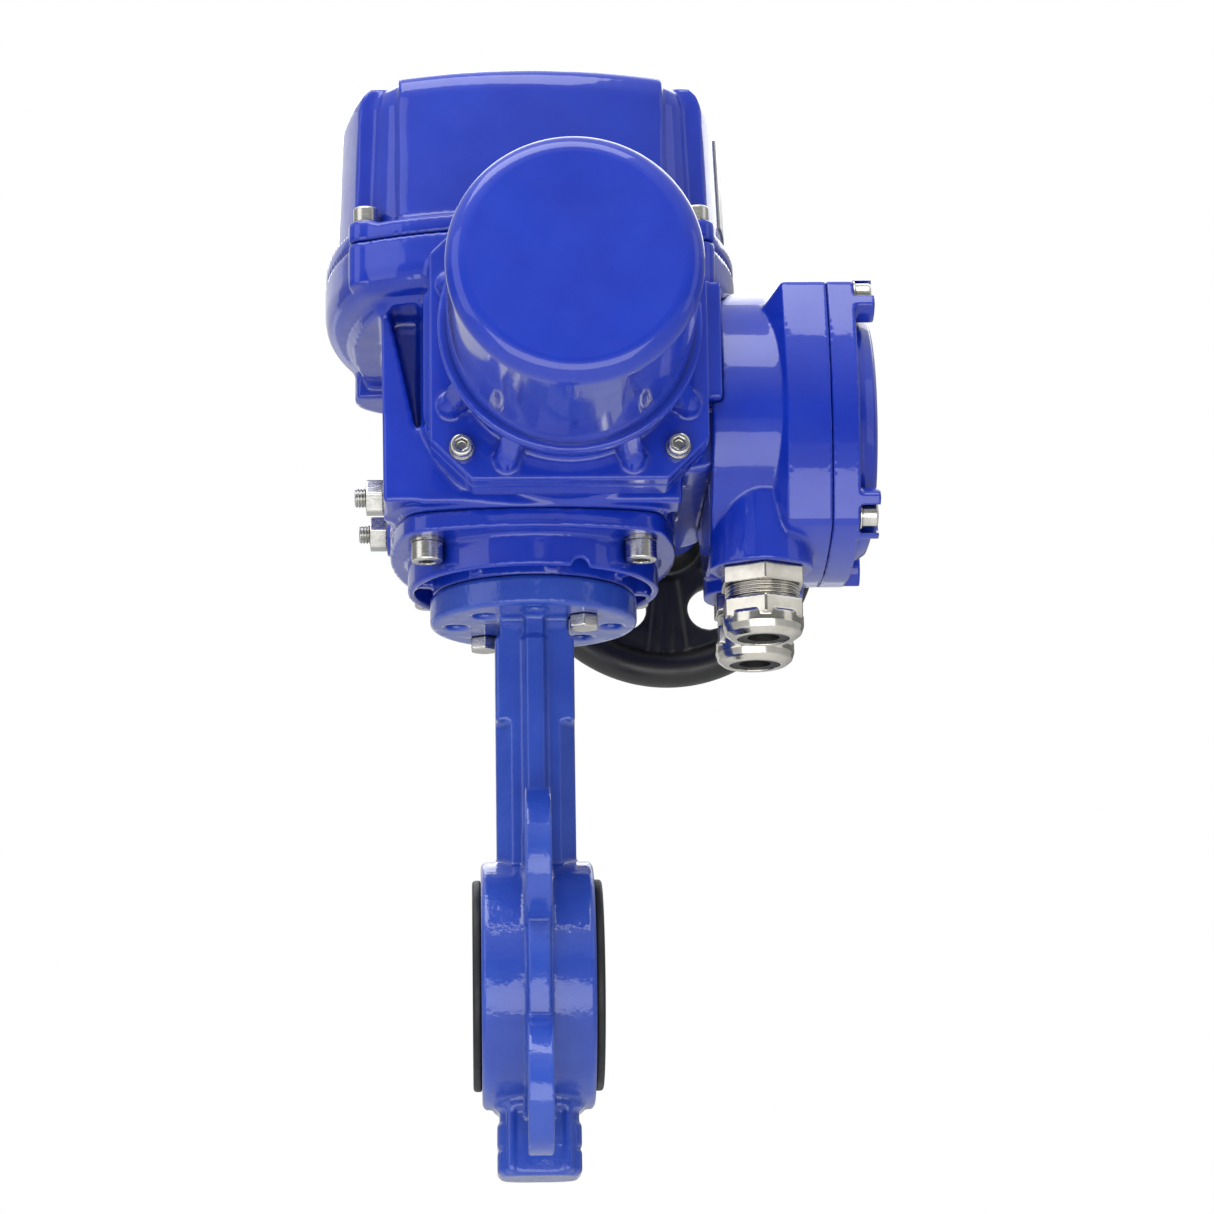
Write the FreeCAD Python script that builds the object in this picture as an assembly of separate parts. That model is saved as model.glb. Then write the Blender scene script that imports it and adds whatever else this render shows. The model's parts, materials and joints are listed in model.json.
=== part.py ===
"""Quarter-turn electric actuator on a wafer butterfly valve, in millimetres.

Frame: the origin is the centre of the valve bore. +X runs along the pipe, towards the terminal box.
-Y is the side of the motor and +Y the side of the handwheel. +Z runs up the valve stem.
The valve is closed at rest: the disc fills the bore.
"""
import FreeCAD, Part
import math
import os

Vec = FreeCAD.Vector

# ---- driving dimensions: valve, DN50 wafer body ----
PORT_R = 25.0
FACE_X = 22.3                     # half the length of the metal body
SEAT_X = 25.75                    # half the length over the rubber faces
SEAT_LIP_R = 41.8
LINER_R = 32.6
BODY_R = 49.0
PIPE_PCD_R = 62.5                 # four M16 pipe bolts on a 125 mm circle
PIPE_HOLE_R = 9.0
EAR_R = 27.0
EAR_HALF_T = 5.0
WEB_R = 56.0
WEB_HALF_T = 4.35
NECK_X = 15.9
NECK_Y = 19.0
NECK_STEP_Z = 103.5
RIB_Y = 24.4
FLANGE_Z0, FLANGE_Z1 = 146.0, 158.0
FLANGE_R = 42.0
FLANGE_DIAG_R = 28.0              # bolt circle radius of the four diagonal holes
FLANGE_AXIS_R = 31.5              # and of the four holes on the axes
FOOT_Z = -76.4
FOOT_X = 16.6
STEM_R = 7.0
STEM_BORE_R = 9.0
STEM_SQUARE = 11.0
RUN = 0.05                        # radial clearance of a running fit
DISC_R = PORT_R - 0.07

# ---- driving dimensions: gearcase ----
BASE_Z0, BASE_Z1 = 173.3, 181.0
BASE_RING_R = 51.0
BASE_HALF = 58.0
PAN_Z0, PAN_Z1 = 266.0, 288.0
PAN_HALF = 84.5
SLEEVE_R = 21.0
BASE_SCREW = (42.5, 39.0)

# ---- driving dimensions: gears ----
WORM_X = 61.0
WORM_MODULE = 2.3
WHEEL_TEETH = 40
WHEEL_R = WORM_MODULE * WHEEL_TEETH / 2
WORM_R = WORM_X - WHEEL_R
WORM_TIP_R = WORM_R + WORM_MODULE
WORM_ROOT_R = WORM_R - 2.9
WORM_BORE_R = 18.2
WORM_TUBE_R = 22.0
WHEEL_HALF_T = 7.0
SPUR_MODULE = 1.25
DRIVE_TEETH = 59
PINION_TEETH = 24
SPUR_CENTRES = SPUR_MODULE * (DRIVE_TEETH + PINION_TEETH) / 2
SPUR_Y0, SPUR_Y1 = -57.5, -50.5
SHAFT_R = 8.0

# ---- driving dimensions: motor ----
MOTOR_X, MOTOR_Z = 13.3, 236.5
PAD_Y = -84.5                     # face of the housing pad that carries the motor
PLATE_Y = -93.8                   # front of the octagonal plate
LIP_Y = -121.4                    # joint of adapter and cap
CAP_Y = -203.5
PLATE_HALF = 54.0
PLATE_CUT = 16.3
ADAPTER_R = 50.6
WALL_R = 45.0
CAP_R = 47.2
MOTOR_SCREW = 41.7
MOTOR_AT = (MOTOR_X, MOTOR_Z)
WORM_Z = MOTOR_Z - math.sqrt(SPUR_CENTRES ** 2 - (WORM_X - MOTOR_X) ** 2)
WORM_AT = (WORM_X, WORM_Z)

# ---- driving dimensions: top cover ----
COVER_FLANGE_Z = 295.5
COVER_TOP_Z = 358.2
COVER_SCREW = (66.0, 62.0)
PANEL_HALF = 53.0
WINDOW_R = 24.0

# ---- driving dimensions: terminal box ----
BOX_Y, BOX_Z = -13.6, 222.2
BOX_AT = (BOX_Y, BOX_Z)
BOX_X0, BOX_X1, BOX_X2, BOX_X3 = 70.0, 99.5, 117.0, 128.0
NECK_R = 58.0
BOX_HALF = 60.0
BOX_SIDE_R, BOX_CORNER_R = 127.0, 5.0
BOX_SCREW = 45.0
GLAND_X = 90.3
GLAND_YS = (-40.0, 8.0)
GLAND_TOP_Z = 157.6
GLAND_R = 12.5

# ---- driving dimensions: handwheel ----
HANDWHEEL_Y = 130.0
HANDWHEEL_R = 67.5

CORNERS = [(sx, sy) for sx in (-1, 1) for sy in (-1, 1)]


# ---------------------------------------------------------------- helpers
def aim(shape, axis):
    """Turn a shape built along +Z so that it lies along the named axis."""
    if axis == "X":
        shape.rotate(Vec(), Vec(0, 1, 0), 90)
    if axis == "Y":
        shape.rotate(Vec(), Vec(1, 0, 0), -90)
    return shape


def spot(axis, at, along=0.0):
    """The point at (first, second) off-axis coordinates and a place along the axis."""
    return {"X": Vec(along, *at), "Y": Vec(at[0], along, at[1]), "Z": Vec(*at, along)}[axis]


def cyl(r, lo, hi, axis="Z", at=(0, 0)):
    solid = aim(Part.makeCylinder(r, hi - lo), axis)
    solid.translate(spot(axis, at, lo))
    return solid


def tube(r_out, r_in, lo, hi, axis="Z", at=(0, 0)):
    return cyl(r_out, lo, hi, axis, at).cut(cyl(r_in, lo - 1, hi + 1, axis, at))


def turned(profile, axis="Z", at=(0, 0)):
    """Turn a closed profile of (along, radius) points round an axis."""
    points = [Vec(r, 0, a) for a, r in profile]
    face = Part.Face(Part.makePolygon(points + points[:1]))
    solid = aim(face.revolve(Vec(), Vec(0, 0, 1), 360), axis)
    solid.translate(spot(axis, at))
    return solid


def box(x, y, z):
    return Part.makeBox(x[1] - x[0], y[1] - y[0], z[1] - z[0], Vec(x[0], y[0], z[0]))


def prism(points, lo, hi, axis="Z", at=(0, 0)):
    """Extrude an outline. Along Y, the outline's second coordinate is Z."""
    if axis == "Z":
        corners = [Vec(a + at[0], b + at[1], lo) for a, b in points]
        push = Vec(0, 0, hi - lo)
    elif axis == "Y":
        corners = [Vec(a + at[0], lo, b + at[1]) for a, b in points]
        push = Vec(0, hi - lo, 0)
    else:
        corners = [Vec(lo, a + at[0], b + at[1]) for a, b in points]
        push = Vec(hi - lo, 0, 0)
    return Part.Face(Part.makePolygon(corners + corners[:1])).extrude(push)


def bulged_wire(half, side_r, corner_r, z=0.0):
    """Square with bowed sides of radius side_r and round corners, centred on the Z axis."""
    offset = half - side_r
    reach = side_r - corner_r
    c = (offset + math.sqrt(2 * reach ** 2 - offset ** 2)) / 2
    touch = offset + (c - offset) * side_r / reach, c * side_r / reach
    edges = []
    for quarter in range(4):
        spin = FreeCAD.Rotation(Vec(0, 0, 1), 90 * quarter)
        a, b = Vec(touch[0], -touch[1], z), Vec(touch[0], touch[1], z)
        nose = Vec(c + corner_r / math.sqrt(2), c + corner_r / math.sqrt(2), z)
        after = Vec(touch[1], touch[0], z)
        points = [spin.multVec(p) for p in (a, Vec(half, 0, z), b, nose, after)]
        edges.append(Part.Arc(*points[:3]).toShape())
        edges.append(Part.Arc(*points[2:]).toShape())
    return Part.Wire(edges)


def bulged(levels, axis="Z", at=(0, 0)):
    """Stack of (place along axis, half size, side radius, corner radius) sections."""
    solids = []
    for low, high in zip(levels, levels[1:]):
        wires = [bulged_wire(half, side, corner, z) for z, half, side, corner in (low, high)]
        solids.append(Part.makeLoft(wires, True, True))
    solid = solids[0].multiFuse(solids[1:]) if len(solids) > 1 else solids[0]
    solid = aim(solid, axis)
    solid.translate(spot(axis, at))
    return solid


def fused(first, *others):
    return first.multiFuse(list(others)).removeSplitter()


def cut(shape, *tools):
    return shape.cut(list(tools)).removeSplitter()


def group(solids):
    return Part.makeCompound(solids)


def placed(shape, point, direction):
    """Point a shape's +Z along direction and move its origin to point."""
    copy = shape.copy()
    copy.Placement = FreeCAD.Placement(Vec(*point), FreeCAD.Rotation(Vec(0, 0, 1), Vec(*direction)))
    return copy


def four_fold(quarter):
    """Closed outline from its first quarter, mirrored in both axes."""
    outline = quarter + [(-x, y) for x, y in reversed(quarter)]
    return outline + [(-x, -y) for x, y in quarter] + [(x, -y) for x, y in reversed(quarter)]


def hexagon(across_flats, lo, hi):
    r = across_flats / math.sqrt(3)
    points = [(r * math.cos(math.radians(a)), r * math.sin(math.radians(a))) for a in range(30, 390, 60)]
    return prism(points, lo, hi)


def socket_screw(shank_r, length, head_r, head_h):
    """Socket head screw along Z with its seat at z=0 and its head above."""
    head = turned([(0, 0), (0, head_r), (head_h - 0.6, head_r), (head_h, head_r - 0.6), (head_h, 0)])
    socket = hexagon(head_r, head_h * 0.45, head_h + 1)
    return cut(fused(head, cyl(shank_r, -length, 0)), socket)


def octagon(half, chamfer):
    k = half - chamfer
    return [(half, -k), (half, k), (k, half), (-k, half), (-half, k), (-half, -k), (-k, -half), (k, -half)]


def gear_outline(teeth, module, thickness, tip, root):
    """Outline of a spur gear whose first tooth is centred on the first axis."""
    pitch_r = teeth * module / 2
    points = []
    for tooth in range(teeth):
        centre = 2 * math.pi * tooth / teeth
        for r, side in ((root, -1), (pitch_r, -1), (tip, -1), (tip, 1), (pitch_r, 1), (root, 1)):
            half = (thickness / 2 - (r - pitch_r) * math.tan(math.radians(20))) / r
            points.append((r * math.cos(centre + side * half), r * math.sin(centre + side * half)))
    return points


def pipe_bolt_spots(radius=PIPE_PCD_R):
    k = radius / math.sqrt(2)
    return [(k * a, k * b) for a, b in CORNERS]


# ---------------------------------------------------------------- valve
def valve_neck():
    lower = prism(four_fold([(NECK_X, 10.5), (9.5, NECK_Y)]), 30, NECK_STEP_Z)
    upper = box((-NECK_X, NECK_X), (-NECK_Y, NECK_Y), (NECK_STEP_Z, 138))
    upper = upper.makeFillet(2.0, [e for e in upper.Edges if abs(e.tangentAt(e.FirstParameter).z) > 0.9])
    rib = prism(four_fold([(5.6, NECK_Y), (3.8, NECK_Y + 2), (3.8, RIB_Y - 0.8), (3.0, RIB_Y)]), 30, 137)
    top = box((-13.8, 13.8), (-NECK_Y, NECK_Y), (137, FLANGE_Z0 + 1))
    top_rib = box((-3.6, 3.6), (-RIB_Y + 1.2, RIB_Y - 1.2), (136, FLANGE_Z0 + 1))
    return fused(lower, upper, rib, top, top_rib)


def valve_foot():
    """Lower boss that holds the blind end of the stem bore."""
    outline = four_fold([(FOOT_X, 9.5), (15.0, 13.4), (11.6, 15.8), (7.2, 17.1)])
    core = prism([(x * 0.94, y) for x, y in outline], FOOT_Z + 1, -30)
    floor = prism([(x * 0.9, y * 0.95) for x, y in outline], FOOT_Z, FOOT_Z + 1)
    pads = [prism(outline, lo, hi) for lo, hi in ((FOOT_Z + 1.6, -66.3), (-64.6, -56.0))]
    root = prism([(x * 1.06, y * 1.1) for x, y in outline], -50, -40)
    ribs = [cyl(2, FOOT_Z + 1.6, -48, "Z", (11 * a, 15.6 * b)) for a, b in CORNERS]
    return fused(core, floor, root, *pads, *ribs)


def valve_body():
    ring = turned([(-FACE_X, 0), (-FACE_X, BODY_R - 1.5), (-FACE_X + 1.5, BODY_R),
                   (FACE_X - 1.5, BODY_R), (FACE_X, BODY_R - 1.5), (FACE_X, 0)], "X")
    ears = [cyl(EAR_R, -EAR_HALF_T, EAR_HALF_T, "X", at) for at in pipe_bolt_spots()]
    web = cyl(WEB_R, -WEB_HALF_T, WEB_HALF_T, "X")
    flange = turned([(FLANGE_Z0, 0), (FLANGE_Z0, FLANGE_R - 1.2), (FLANGE_Z0 + 1.2, FLANGE_R),
                     (FLANGE_Z1 - 1, FLANGE_R), (FLANGE_Z1, FLANGE_R - 1), (FLANGE_Z1, 0)])
    solid = fused(ring, web, valve_neck(), valve_foot(), flange, *ears)
    holes = [cyl(PIPE_HOLE_R, -9, 9, "X", at) for at in pipe_bolt_spots()]
    k = FLANGE_DIAG_R / math.sqrt(2)
    spots = [(k * a, k * b) for a, b in CORNERS]
    spots += [(FLANGE_AXIS_R, 0), (-FLANGE_AXIS_R, 0), (0, FLANGE_AXIS_R), (0, -FLANGE_AXIS_R)]
    sink = [(FLANGE_Z0 - 1, 5.4), (FLANGE_Z0, 5.4), (FLANGE_Z0 + 1.2, 4.2), (FLANGE_Z1 + 1, 4.2)]
    holes += [turned([(sink[0][0], 0)] + sink + [(FLANGE_Z1 + 1, 0)], "Z", at) for at in spots]
    bore = cyl(LINER_R, -FACE_X - 1, FACE_X + 1, "X")
    return cut(solid, bore, cyl(STEM_BORE_R, -66, FLANGE_Z1 + 1), *holes)


def seat_liner():
    half = [(SEAT_X, PORT_R), (SEAT_X, SEAT_LIP_R - 0.8), (SEAT_X - 0.8, SEAT_LIP_R),
            (FACE_X, SEAT_LIP_R), (FACE_X, LINER_R)]
    other = [(-x, r) for x, r in reversed(half)]
    return cut(turned(half + other, "X"), cyl(STEM_R + RUN, -40, 40))


def disc_pins():
    return group([cyl(2.5, -9.0, 9.0, "X", (0, z)) for z in (-13, 13)])


def valve_disc():
    plate = cyl(DISC_R, -3.2, 3.2, "X")
    hub = cyl(9.8, -DISC_R, DISC_R)
    ribs = box((-5.2, 5.2), (-15, 15), (-3, 3))
    solid = fused(plate, hub, ribs).common(Part.makeSphere(DISC_R))
    pins = [cyl(2.5, -12, 12, "X", (0, z)) for z in (-13, 13)]
    return cut(solid, cyl(STEM_R, -30, 30), *pins)


def square_bar(side, lo, hi):
    return box((-side / 2, side / 2), (-side / 2, side / 2), (lo, hi))


def valve_stem():
    bar = square_bar(STEM_SQUARE, 149, 177).common(cyl(STEM_R, 149, 177))
    pins = [cyl(2.5, -12, 12, "X", (0, z)) for z in (-13, 13)]
    return cut(fused(cyl(STEM_R, -63.5, 150), bar), *pins)


def stem_bushes():
    return group([tube(STEM_BORE_R, STEM_R + RUN, lo, hi) for lo, hi in ((-64, -34), (36, 66), (128, 156))])


def stem_seals():
    return group([tube(STEM_BORE_R, STEM_R + RUN, z, z + 5) for z in (84, 120)])


def flange_bolts():
    """Two M8 hexagon bolts that hold the actuator on the valve flange."""
    k = FLANGE_DIAG_R / math.sqrt(2)
    bolts = []
    for sx in (-1, 1):
        head = hexagon(11, 0.0, 5.3).common(turned([(0, 0), (0, 6.5), (4.6, 6.5), (5.3, 5.6), (5.3, 0)]))
        bolt = fused(head, cyl(4, -25, 0))
        bolts.append(placed(bolt, (sx * k, -sx * k, FLANGE_Z0 - 0.01), (0, 0, -1)))
    return group(bolts)


# ---------------------------------------------------------------- gearcase
def base_flange():
    plate = bulged([(BASE_Z0, BASE_HALF, 150, 15), (BASE_Z1, BASE_HALF, 150, 15)])
    ring = cyl(BASE_RING_R, FLANGE_Z1 + 1.5, BASE_Z0)
    groove = tube(48, 41, FLANGE_Z1, 170)
    webs = []
    for turn in range(8):
        web = box((40, 49), (-2.5, 2.5), (161, 171))
        web.rotate(Vec(), Vec(0, 0, 1), 45 * turn + 10)
        webs.append(web)
    solid = fused(cut(fused(plate, ring), groove), cyl(41, FLANGE_Z1, BASE_Z0), *webs)
    k = FLANGE_DIAG_R / math.sqrt(2)
    taps = [cyl(4, FLANGE_Z1 - 1, FLANGE_Z1 + 14, "Z", (k * a, k * b)) for a, b in CORNERS]
    ends = [cyl(4.3, 170, BASE_Z1 + 1, "Z", (BASE_SCREW[0] * a, BASE_SCREW[1] * b)) for a, b in CORNERS]
    notch = cyl(3.2, -BASE_RING_R - 1, -40, "Y", (18, FLANGE_Z1 + 2))
    return cut(solid, cyl(SLEEVE_R + RUN, FLANGE_Z1 - 1, BASE_Z1 + 1), notch, *taps, *ends)


def base_screws():
    screw = socket_screw(4, 22, 6.3, 8)
    return group([placed(screw, (BASE_SCREW[0] * a, BASE_SCREW[1] * b, BASE_Z0 - 1.6), (0, 0, -1))
                  for a, b in CORNERS])


def base_washers():
    return group([tube(6.6, 4, BASE_Z0 - 1.6, BASE_Z0, "Z", (BASE_SCREW[0] * a, BASE_SCREW[1] * b))
                  for a, b in CORNERS])


def motor_pad():
    """Octagonal pad with a round root that carries the motor, cut off level with the cover joint."""
    pad = prism(octagon(PLATE_HALF, PLATE_CUT), PAD_Y, -71, "Y", MOTOR_AT)
    root = cyl(52, -72, -46, "Y", MOTOR_AT)
    cheek = box((MOTOR_X - PLATE_HALF - 2.6, 0), (-82, -40), (190, 262))
    bridge = box((MOTOR_X + 40, BOX_X0 + 4), (-76, -40), (220, PAN_Z0 + 2))
    below_joint = box((-100, 100), (-100, 0), (150, PAN_Z1))
    return fused(pad, root, cheek.common(cyl(62, -90, -40, "Y", MOTOR_AT)), bridge).common(below_joint)


def side_rib():
    """Tapered stiffening plate at the left front corner, under the pan."""
    outline = [(-60.2, PAN_Z0 + 1), (-57.4, PAN_Z0 + 1), (-43, 196), (-43, 184), (-59.5, 184)]
    return prism(outline, -58, -20, "Y")


def side_recess():
    """Pocket between the stiffening plate and the front of the housing."""
    return prism([(-57.4, PAN_Z0 - 3), (-45.0, PAN_Z0 - 3), (-45.0, 205.8)], -75, -43, "Y")


def housing_shell():
    """Outer form of the gear housing before it is hollowed."""
    case = bulged([(BASE_Z1, BASE_HALF, 150, 15), (186, BASE_HALF, 150, 15),
                   (230, 60.5, 150, 16), (PAN_Z0 + 1, 60.5, 150, 16)])
    step = bulged([(PAN_Z0 - 5, 73, 150, 14), (PAN_Z0 + 1, 75, 150, 14)])
    pan = bulged([(PAN_Z0, 78, 150, 10), (PAN_Z0 + 1.5, 81.5, 150, 12), (PAN_Z0 + 4.5, 83.6, 150, 13),
                  (PAN_Z0 + 9, PAN_HALF, 150, 14), (PAN_Z1, PAN_HALF, 150, 14)])
    corner_boss = cyl(20, 256, PAN_Z0 + 1, "Z", (-54, 50)).common(box((-80, 0), (42, 80), (200, 270)))
    worm_tube = cyl(WORM_TUBE_R, -62, 62, "Y", WORM_AT)
    shaft_tube = cyl(15, 60, 104, "Y", WORM_AT)
    neck_root = cyl(NECK_R - 8, 50, BOX_X0, "X", BOX_AT).common(box((50, 80), (-52, 40), (196, 280)))
    front = box((-44.5, 58.5), (-58, -40), (183, PAN_Z0))
    stop_pads = [cyl(9.5, -60, -40, "X", (y, 193)) for y in (-29, 29)]
    solid = fused(case, step, pan, corner_boss, worm_tube, shaft_tube, neck_root, front,
                  side_rib(), *stop_pads)
    return fused(cut(solid, side_recess()), motor_pad())


def gear_housing():
    wheel_room = cyl(50.5, BASE_Z1 - 1, 232)
    top_bearing = cyl(24, 231, 246)
    drive_room = cyl(41, SPUR_Y0 - 1.2, SPUR_Y1 + 1.2, "Y", MOTOR_AT)
    shaft_seat = cyl(17, -78, SPUR_Y0, "Y", MOTOR_AT)
    pilot = cyl(40, PAD_Y - 1, -77, "Y", MOTOR_AT)
    worm_room = cyl(WORM_BORE_R, -58.7, 56, "Y", WORM_AT)
    shaft_room = cyl(11, 50, 105, "Y", WORM_AT)
    pan_room = bulged([(PAN_Z0 + 5.5, 78, 150, 10), (PAN_Z1 + 1, 78, 150, 10)])
    wires = cyl(12, 255, PAN_Z0 + 10, "Z", (56, 10))
    wire_way = cyl(12, 48, BOX_X0 + 1, "X", (10, 252))
    screw_holes = [cyl(4, 180, 196, "Z", (BASE_SCREW[0] * a, BASE_SCREW[1] * b)) for a, b in CORNERS]
    stop_holes = [cyl(4, -61, -40, "X", (y, 193)) for y in (-29, 29)]
    motor_holes = [cyl(2.5, PAD_Y - 1, -73, "Y", at) for at in motor_screw_spots()]
    cover_holes = [cyl(3, 276, PAN_Z1 + 1, "Z", (COVER_SCREW[0] * a, COVER_SCREW[1] * b)) for a, b in CORNERS]
    pillars = [cyl(7, PAN_Z0 + 4, PAN_Z1, "Z", (COVER_SCREW[0] * a, COVER_SCREW[1] * b)) for a, b in CORNERS]
    hollow = cut(housing_shell(), pan_room)
    hollow = fused(hollow, *pillars)
    return cut(hollow, wheel_room, top_bearing, cyl(16.5, 240, 290), drive_room, shaft_seat, pilot, worm_room,
               shaft_room, wires, wire_way, *screw_holes, *stop_holes, *motor_holes, *cover_holes)


def stop_screws():
    """Two travel stop screws in the left wall."""
    screws = []
    for y in (-29, 29):
        screw = cyl(4, -71.5, -44, "X", (y, 193))
        slot = box((-72, -70.2), (y - 5, y + 5), (192.4, 193.6))
        screws.append(cut(screw, slot))
    return group(screws)


def stop_nuts():
    nut = cut(hexagon(13, 0, 7), cyl(4, -1, 8))
    return group([placed(nut, (-60, y, 193), (-1, 0, 0)) for y in (-29, 29)])


# ---------------------------------------------------------------- output train
def drive_sleeve():
    body = turned([(FLANGE_Z1 + 0.5, 0), (FLANGE_Z1 + 0.5, SLEEVE_R), (231, SLEEVE_R), (231, 15),
                   (262, 15), (262, 0)])
    return cut(body, square_bar(STEM_SQUARE, FLANGE_Z1, 178).common(cyl(STEM_R, FLANGE_Z1, 178)),
               cyl(4, 245, 263))


def worm_wheel():
    """Bronze wheel whose teeth lean with the thread of the worm."""
    tip, root = WHEEL_R + WORM_MODULE, WHEEL_R - 2.8
    lean = math.degrees(WHEEL_HALF_T * WORM_MODULE / (2 * WORM_R) / WHEEL_R)
    half_space = math.degrees(math.pi / WHEEL_TEETH)
    wires = []
    for z, turn in ((-WHEEL_HALF_T, lean), (WHEEL_HALF_T, -lean)):
        outline = gear_outline(WHEEL_TEETH, WORM_MODULE, 3.2, tip, root)
        wire = Part.makePolygon([Vec(x, y, WORM_Z + z) for x, y in outline + outline[:1]])
        wire.rotate(Vec(), Vec(0, 0, 1), half_space + turn)
        wires.append(wire)
    wheel = Part.makeLoft(wires, True, True)
    recesses = [tube(38, 28, WORM_Z + lo, WORM_Z + hi) for lo, hi in ((-8, -4), (4, 8))]
    return cut(wheel, cyl(SLEEVE_R, 190, 240), *recesses)


def sleeve_bearing():
    return tube(24, 15 + RUN, 232, 246)


def indicator_shaft():
    return cyl(4, 245, 358)


def cam_stack():
    """Two limit cams and a hub on the indicator shaft."""
    cams = []
    for turn, z in ((0, 306), (90, 316)):
        lobe = cyl(5, z, z + 5, "Z", (13, 0))
        lobe.rotate(Vec(), Vec(0, 0, 1), turn)
        cams.append(fused(cyl(13, z, z + 5), lobe))
    return group([cut(cam, cyl(4, 300, 330)) for cam in cams])


def indicator_pointer():
    dial = tube(19, 4, 352, 355)
    fin = box((-17, 17), (-2.5, 2.5), (355, 359))
    return cut(fused(dial, fin), cyl(4, 340, 358))


# ---------------------------------------------------------------- worm train
def worm_shaft():
    """Left-hand single-start worm on its shaft."""
    lead = math.pi * WORM_MODULE
    half_length = 4 * lead
    helix = Part.makeHelix(lead, 2 * half_length, WORM_ROOT_R)
    sunk = WORM_ROOT_R - 1.5
    widths = [(r, 1.5 - (r - WORM_R) * math.tan(math.radians(20))) for r in (sunk, WORM_TIP_R)]
    points = [Vec(r, 0, -w) for r, w in widths] + [Vec(r, 0, w) for r, w in reversed(widths)]
    thread = Part.Wire(helix).makePipeShell([Part.makePolygon(points + points[:1])], True, True)
    thread = thread.mirror(Vec(), Vec(0, 1, 0))
    thread.rotate(Vec(), Vec(0, 0, 1), 180)
    thread = aim(thread, "Y")
    thread.translate(spot("Y", WORM_AT, -half_length))
    core = cyl(WORM_ROOT_R, -34, 34, "Y", WORM_AT)
    shaft = cyl(SHAFT_R, SPUR_Y0 + 0.5, 138, "Y", WORM_AT)
    return fused(core, shaft).fuse(thread)


def spur(teeth, module, tooth_angle, at):
    """Spur gear about Y with one tooth pointing along tooth_angle, measured from +X towards -Z."""
    pitch_r = teeth * module / 2
    outline = gear_outline(teeth, module, 0.44 * math.pi * module, pitch_r + module, pitch_r - 1.25 * module)
    gear = prism(outline, 0, SPUR_Y1 - SPUR_Y0)
    gear.rotate(Vec(), Vec(0, 0, 1), tooth_angle)
    gear = aim(gear, "Y")
    gear.translate(spot("Y", at, SPUR_Y0))
    return cut(gear, cyl(SHAFT_R, -70, -40, "Y", at))


MESH_ANGLE = math.degrees(math.atan2(MOTOR_Z - WORM_Z, WORM_X - MOTOR_X))


def worm_pinion():
    return spur(PINION_TEETH, SPUR_MODULE, MESH_ANGLE + 180 + 180 / PINION_TEETH, WORM_AT)


def drive_gear():
    return spur(DRIVE_TEETH, SPUR_MODULE, MESH_ANGLE, MOTOR_AT)


def worm_bearings():
    seats = ((-48, -37), (44, 55))
    return group([tube(WORM_BORE_R, SHAFT_R + RUN, lo, hi, "Y", WORM_AT) for lo, hi in seats])


def shaft_seal():
    return tube(11, SHAFT_R + RUN, 92, 102, "Y", WORM_AT)


def handwheel():
    rim_r = 8.0
    rim = Part.makeTorus(HANDWHEEL_R - rim_r, rim_r)
    rim = aim(rim, "Y")
    rim.translate(spot("Y", WORM_AT, HANDWHEEL_Y))
    web = cyl(HANDWHEEL_R - rim_r, HANDWHEEL_Y - 3, HANDWHEEL_Y + 3, "Y", WORM_AT)
    hub = turned([(112, 0), (112, 13), (126, 16), (135, 16), (135, 0)], "Y", WORM_AT)
    holes = []
    for turn in range(6):
        angle = math.radians(60 * turn)
        at = (WORM_X + 37.3 * math.cos(angle), WORM_Z + 37.3 * math.sin(angle))
        holes.append(cyl(9.5, 120, 140, "Y", at))
    return cut(fused(rim, web, hub), cyl(SHAFT_R, 100, 140, "Y", WORM_AT), *holes)


def handwheel_nut():
    nut = cut(hexagon(24, 0, 7), cyl(SHAFT_R, -1, 8))
    return placed(nut, (WORM_X, 135, WORM_Z), (0, 1, 0))


# ---------------------------------------------------------------- motor
def motor_screw_spots():
    return [(MOTOR_X + MOTOR_SCREW * a, MOTOR_Z + MOTOR_SCREW * b) for a, b in CORNERS]


def motor_adapter():
    """Octagonal plate and round wall with eight cast gussets."""
    plate = prism(octagon(PLATE_HALF, PLATE_CUT), PLATE_Y, PAD_Y, "Y", MOTOR_AT)
    wall = turned([(LIP_Y, 0), (LIP_Y, ADAPTER_R), (LIP_Y + 5, ADAPTER_R), (LIP_Y + 11, WALL_R + 1.5),
                   (PLATE_Y - 1.5, WALL_R), (PLATE_Y + 1, WALL_R + 2), (PLATE_Y + 1, 0)], "Y", MOTOR_AT)
    gussets = []
    for corner in range(4):
        for side in (-17, 17):
            fin = prism([(WALL_R - 4, PLATE_Y + 1), (53.5, PLATE_Y + 1), (53.5, PLATE_Y - 4),
                         (WALL_R + 3, LIP_Y + 6), (WALL_R - 4, LIP_Y + 6)], -4, 4)
            fin.rotate(Vec(), Vec(0, 1, 0), 45 + 90 * corner + side)
            fin.translate(Vec(MOTOR_X, 0, MOTOR_Z))
            gussets.append(fin)
    spigot = cyl(40, PAD_Y - 1, -77.5, "Y", MOTOR_AT)
    solid = fused(plate, wall, spigot, *gussets)
    holes = [cyl(2.8, PLATE_Y - 20, PAD_Y + 1, "Y", at) for at in motor_screw_spots()]
    return cut(solid, cyl(36, LIP_Y - 1, -76, "Y", MOTOR_AT), *holes)


def motor_cap():
    """Smooth deep-drawn looking cap with a rounded front edge."""
    outer = cyl(CAP_R, CAP_Y, LIP_Y, "Y", MOTOR_AT)
    front = [e for e in outer.Edges if e.BoundBox.YMax < CAP_Y + 0.01]
    outer = outer.makeFillet(8.0, front)
    return cut(outer, cyl(CAP_R - 3.8, CAP_Y + 4, LIP_Y + 1, "Y", MOTOR_AT))


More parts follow.
